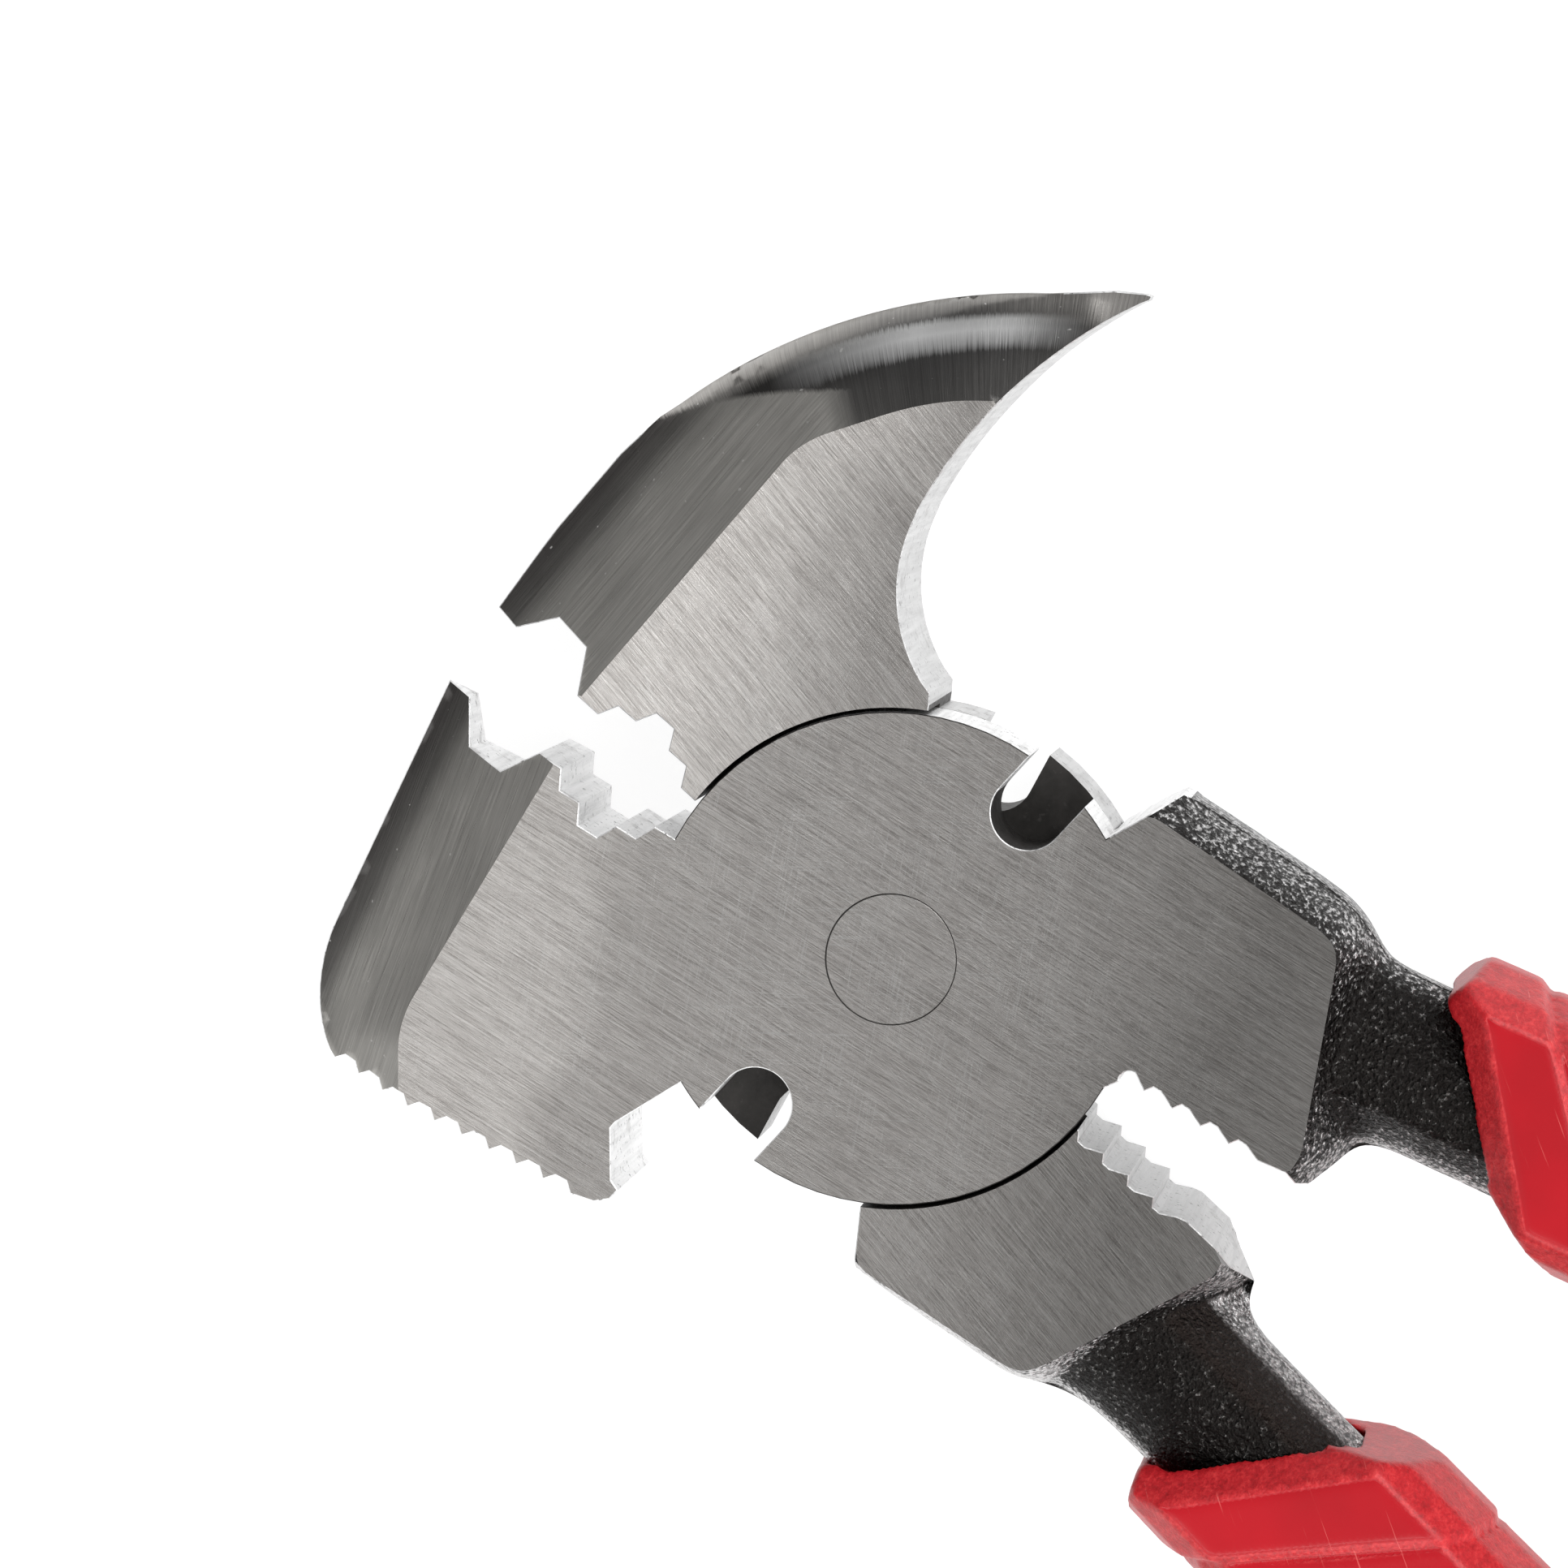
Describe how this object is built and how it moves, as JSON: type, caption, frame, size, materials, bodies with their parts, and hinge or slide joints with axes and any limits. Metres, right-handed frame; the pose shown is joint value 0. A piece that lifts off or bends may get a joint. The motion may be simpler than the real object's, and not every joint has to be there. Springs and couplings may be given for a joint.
{
  "type": "fencing pliers",
  "caption": "Fencing pliers: waffled hammer face, curved staple claw, stepped pipe-and-wire jaw, shear notches at the joint and long moulded comfort grips.",
  "frame": {"origin": "on the pivot axis at the back ground face", "axes": "+Z along the pivot axis towards the front ground face, +Y towards the jaws along the hammer jaw's face, +X towards the claw"},
  "size_m": [0.1103, 0.2642, 0.0188],
  "materials": {
    "ground_steel": "ground flat and brushed, forging skin left dark and rough round the handle blocks",
    "rivet_steel": "ground flush with the head",
    "red_grip": "glossy moulding with finely grained chamfers",
    "black_inlay": "soft matt moulding"
  },
  "bodies": {
    "hammer_side": {"hammer_half": "ground_steel", "pivot_rivet": "rivet_steel", "hammer_grip": "red_grip", "hammer_grip_inlay": "black_inlay"},
    "claw_side": {"claw_half": "ground_steel", "claw_grip": "red_grip", "claw_grip_inlay": "black_inlay"}
  },
  "joints": [
    {"name": "pivot", "type": "hinge", "parent": "hammer_side", "child": "claw_side", "pos_m": [0, 0, 0], "axis": [0, 0, -1], "range_deg": [-9.5, 40.5]}
  ]
}
